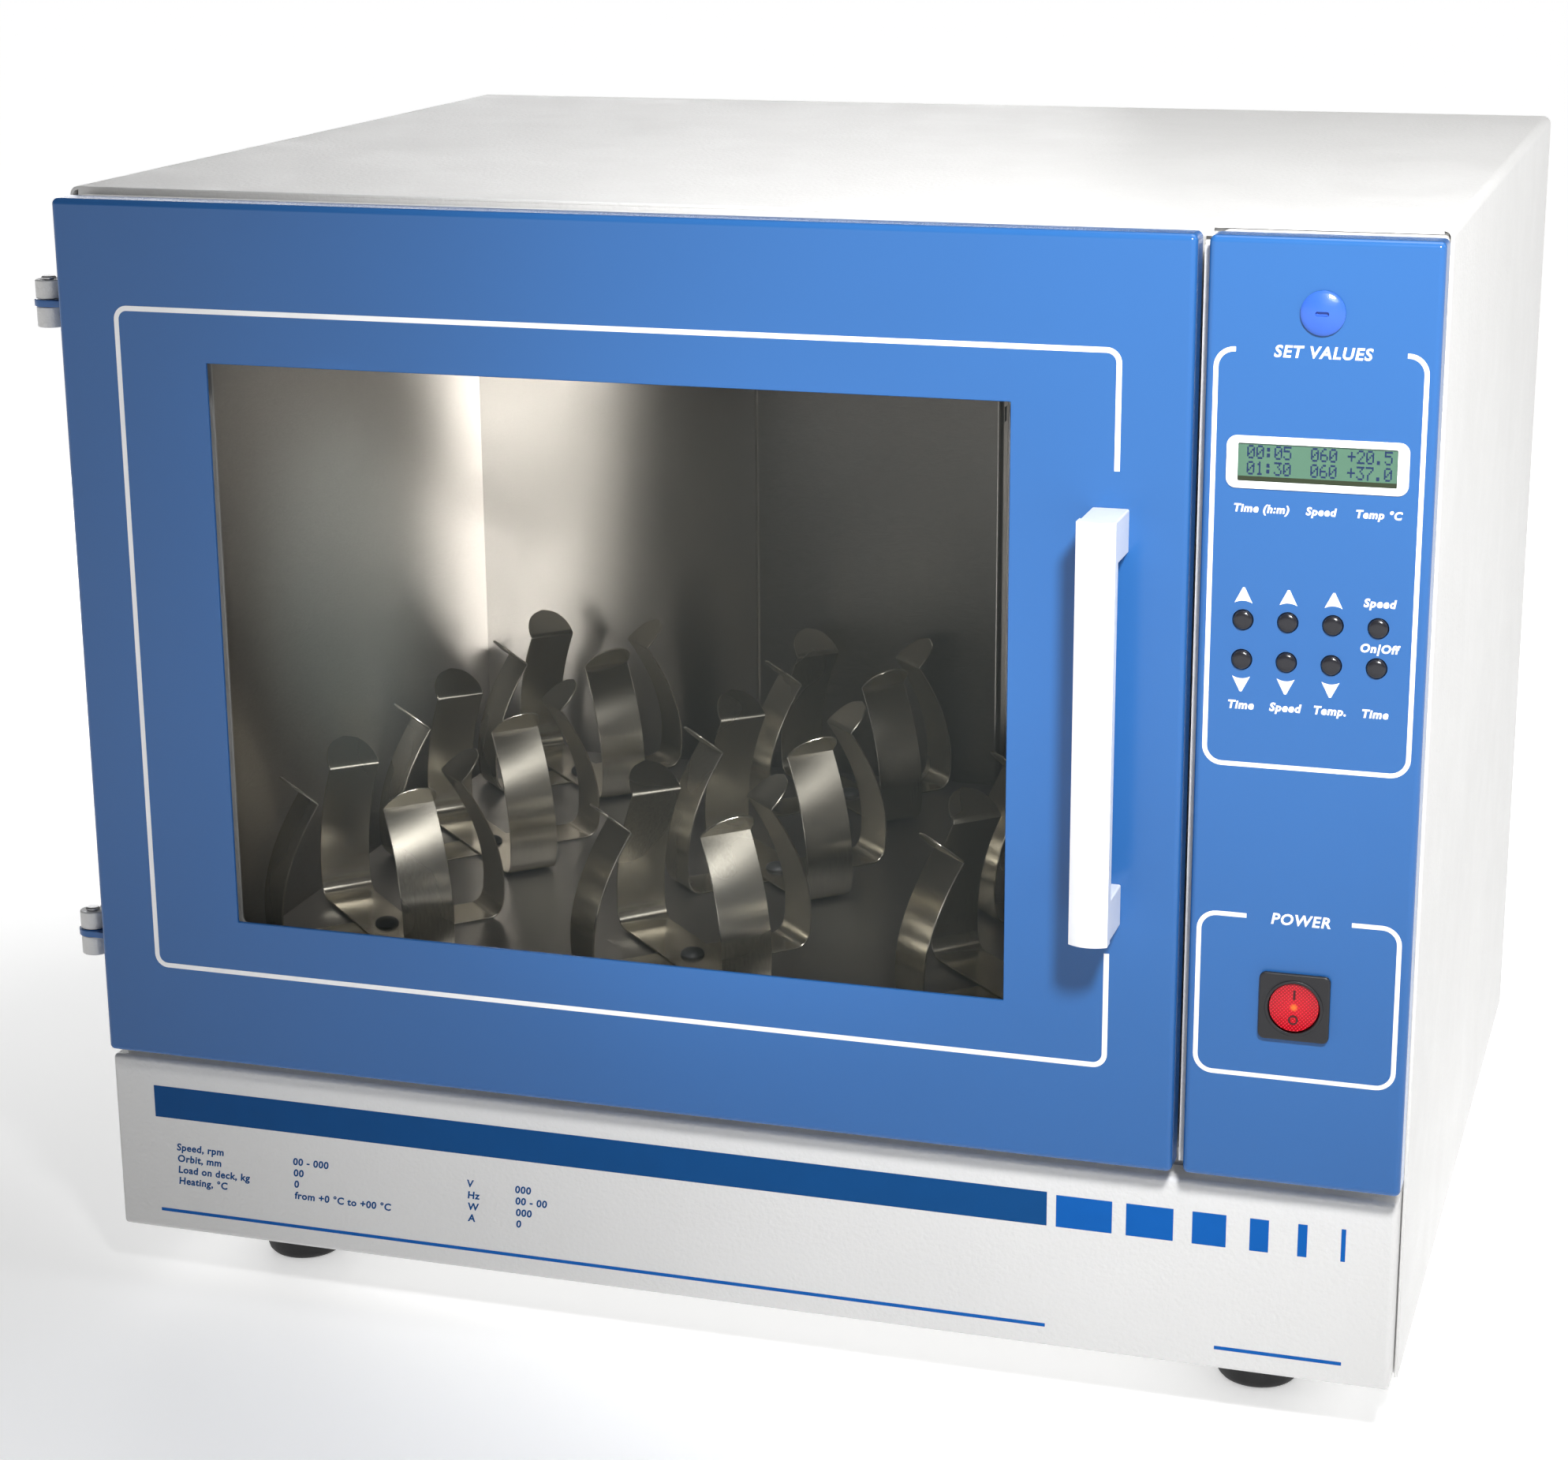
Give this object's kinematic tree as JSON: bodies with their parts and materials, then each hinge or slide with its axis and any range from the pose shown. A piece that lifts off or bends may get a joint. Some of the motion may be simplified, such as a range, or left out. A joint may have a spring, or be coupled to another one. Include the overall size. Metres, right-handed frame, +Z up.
{
  "type": "orbital shaker incubator",
  "caption": "Bench incubator with an orbiting platform of spring flask clamps behind a glazed hinged door, with a keypad, display and power switch beside it.",
  "frame": {"origin": "middle of the bounding box, on the surface the feet stand on", "axes": "+Z up, +X to the right of a person facing the door, +Y from the door to the back"},
  "size_m": [0.6018, 0.5254, 0.51],
  "materials": {
    "case_white": "satin",
    "door_blue": "satin",
    "liner_steel": "satin",
    "clamp_steel": "satin",
    "machined_steel": "satin",
    "dark_metal": "matte",
    "light_alloy": "satin",
    "foot_rubber": "matte",
    "gasket_rubber": "matte",
    "window_glass": "gloss",
    "black_plastic": "satin",
    "button_plastic": "satin",
    "rocker_red": "gloss",
    "cap_blue": "gloss",
    "display_green": "gloss",
    "circuit_board": "satin",
    "mineral_wool": "matte",
    "printed_marks": "satin"
  },
  "bodies": {
    "cabinet": {"outer_casing": "case_white", "base_pan": "case_white", "rear_panel": "case_white", "lower_front_panel": "case_white", "front_frame": "case_white", "chamber_liner": "liner_steel", "insulation_jacket": "mineral_wool", "fan_duct_cover": "liner_steel", "heater_ring": "dark_metal", "fan_motor": "dark_metal", "control_panel_cover": "door_blue", "blanking_cap": "cap_blue", "lcd_module": "display_green", "control_board": "circuit_board", "power_switch_housing": "black_plastic", "power_supply": "dark_metal", "power_inlet": "black_plastic", "foot_front_left": "foot_rubber", "foot_front_right": "foot_rubber", "foot_rear_left": "foot_rubber", "foot_rear_right": "foot_rubber", "hinge_bracket_upper": "case_white", "hinge_bracket_lower": "case_white", "hinge_pin_upper": "machined_steel", "hinge_pin_lower": "machined_steel", "door_gasket": "gasket_rubber", "drive_chassis": "dark_metal", "drive_motor": "dark_metal", "drive_belt": "foot_rubber"},
    "door": {"door_shell": "door_blue", "door_inner_pan": "case_white", "outer_glass": "window_glass", "inner_glass": "window_glass", "door_handle": "light_alloy"},
    "crank": {"drive_crank": "machined_steel"},
    "idler_rear": {"idler_crank_rear": "machined_steel"},
    "idler_left": {"idler_crank_left": "machined_steel"},
    "idler_right": {"idler_crank_right": "machined_steel"},
    "motor_rotor": {"motor_pulley": "dark_metal"},
    "platform": {"platform_carrier": "light_alloy", "platform_tray": "liner_steel", "flask_clamp_1": "clamp_steel", "flask_clamp_2": "clamp_steel", "flask_clamp_3": "clamp_steel", "flask_clamp_4": "clamp_steel", "flask_clamp_5": "clamp_steel", "flask_clamp_6": "clamp_steel", "flask_clamp_7": "clamp_steel", "flask_clamp_8": "clamp_steel", "flask_clamp_9": "clamp_steel"},
    "fan": {"fan_impeller": "light_alloy"},
    "rocker": {"power_rocker": "rocker_red"},
    "key_time_up": {"button_time_up": "button_plastic"},
    "key_speed_up": {"button_speed_up": "button_plastic"},
    "key_temperature_up": {"button_temperature_up": "button_plastic"},
    "key_speed_run": {"button_speed_run": "button_plastic"},
    "key_time_down": {"button_time_down": "button_plastic"},
    "key_speed_down": {"button_speed_down": "button_plastic"},
    "key_temperature_down": {"button_temperature_down": "button_plastic"},
    "key_time_run": {"button_time_run": "button_plastic"}
  },
  "joints": [
    {"name": "door_hinge", "type": "hinge", "parent": "cabinet", "child": "door", "pos_m": [-0.2941, -0.21875, 0.318], "axis": [0, 0, -1], "range_deg": [0, 110]},
    {"name": "crank_spin", "type": "hinge", "parent": "cabinet", "child": "crank", "pos_m": [-0.0401, -0.01075, 0.1], "axis": [0, 0, 1], "continuous": true},
    {"name": "platform_orbit", "type": "hinge", "parent": "crank", "child": "platform", "pos_m": [-0.0351, -0.00209, 0.148], "axis": [0, 0, 1], "continuous": true},
    {"name": "idler_rear_spin", "type": "hinge", "parent": "cabinet", "child": "idler_rear", "pos_m": [-0.0401, 0.10425, 0.1], "axis": [0, 0, 1], "continuous": true},
    {"name": "idler_left_spin", "type": "hinge", "parent": "cabinet", "child": "idler_left", "pos_m": [-0.1651, -0.08575, 0.1], "axis": [0, 0, 1], "continuous": true},
    {"name": "idler_right_spin", "type": "hinge", "parent": "cabinet", "child": "idler_right", "pos_m": [0.0849, -0.08575, 0.1], "axis": [0, 0, 1], "continuous": true},
    {"name": "motor_spin", "type": "hinge", "parent": "cabinet", "child": "motor_rotor", "pos_m": [0.0899, 0.04525, 0.06], "axis": [0, 0, 1], "continuous": true},
    {"name": "fan_spin", "type": "hinge", "parent": "cabinet", "child": "fan", "pos_m": [-0.0351, 0.18525, 0.4], "axis": [0, 1, 0], "continuous": true},
    {"name": "rocker_tilt", "type": "hinge", "parent": "cabinet", "child": "rocker", "pos_m": [0.2556, -0.23175, 0.2004], "axis": [1, 0, 0], "range_deg": [0, 14]},
    {"name": "press_time_up", "type": "slide", "parent": "cabinet", "child": "key_time_up", "axis": [0, 1, 0], "range_m": [0, 0.0012], "stiffness_N_per_m": 600, "springref_m": -0.0006},
    {"name": "press_speed_up", "type": "slide", "parent": "cabinet", "child": "key_speed_up", "axis": [0, 1, 0], "range_m": [0, 0.0012], "stiffness_N_per_m": 600, "springref_m": -0.0006},
    {"name": "press_temperature_up", "type": "slide", "parent": "cabinet", "child": "key_temperature_up", "axis": [0, 1, 0], "range_m": [0, 0.0012], "stiffness_N_per_m": 600, "springref_m": -0.0006},
    {"name": "press_speed_run", "type": "slide", "parent": "cabinet", "child": "key_speed_run", "axis": [0, 1, 0], "range_m": [0, 0.0012], "stiffness_N_per_m": 600, "springref_m": -0.0006},
    {"name": "press_time_down", "type": "slide", "parent": "cabinet", "child": "key_time_down", "axis": [0, 1, 0], "range_m": [0, 0.0012], "stiffness_N_per_m": 600, "springref_m": -0.0006},
    {"name": "press_speed_down", "type": "slide", "parent": "cabinet", "child": "key_speed_down", "axis": [0, 1, 0], "range_m": [0, 0.0012], "stiffness_N_per_m": 600, "springref_m": -0.0006},
    {"name": "press_temperature_down", "type": "slide", "parent": "cabinet", "child": "key_temperature_down", "axis": [0, 1, 0], "range_m": [0, 0.0012], "stiffness_N_per_m": 600, "springref_m": -0.0006},
    {"name": "press_time_run", "type": "slide", "parent": "cabinet", "child": "key_time_run", "axis": [0, 1, 0], "range_m": [0, 0.0012], "stiffness_N_per_m": 600, "springref_m": -0.0006}
  ],
  "couplings": [
    {"joint": "platform_orbit", "follows": "crank_spin", "ratio": -1},
    {"joint": "idler_rear_spin", "follows": "crank_spin", "ratio": 1},
    {"joint": "idler_left_spin", "follows": "crank_spin", "ratio": 1},
    {"joint": "idler_right_spin", "follows": "crank_spin", "ratio": 1},
    {"joint": "motor_spin", "follows": "crank_spin", "ratio": 4}
  ]
}
